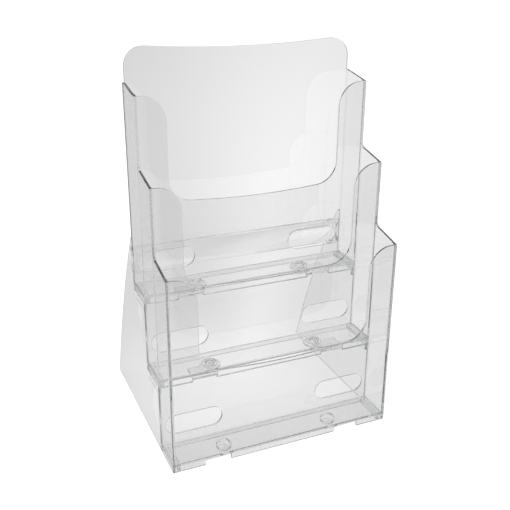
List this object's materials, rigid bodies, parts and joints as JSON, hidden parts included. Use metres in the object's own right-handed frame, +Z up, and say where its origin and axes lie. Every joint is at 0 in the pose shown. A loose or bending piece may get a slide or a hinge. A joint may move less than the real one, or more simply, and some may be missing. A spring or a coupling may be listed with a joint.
{
  "type": "magazine rack",
  "caption": "Clear moulded plastic counter rack with stepped, open-fronted magazine pockets on two side panels, joined by lock tabs, pins and a cross brace.",
  "frame": {"origin": "on the table under the rack, at the middle of its width and depth", "axes": "+X to the right across the pockets, +Z up along the height, the pockets open towards -Y"},
  "size_m": [0.236, 0.211, 0.3865],
  "materials": {
    "pocket_plastic": "clear, glossy, injection moulded",
    "stand_plastic": "clear, glossy, injection moulded",
    "pin_plastic": "clear, glossy, injection moulded"
  },
  "bodies": {
    "root": {"bottom_pocket": "pocket_plastic", "middle_pocket": "pocket_plastic", "top_pocket": "pocket_plastic", "left_side_panel": "stand_plastic", "right_side_panel": "stand_plastic", "cross_brace": "stand_plastic", "middle_lock_pin_left": "pin_plastic", "middle_lock_pin_right": "pin_plastic", "top_lock_pin_left": "pin_plastic", "top_lock_pin_right": "pin_plastic"}
  },
  "joints": []
}
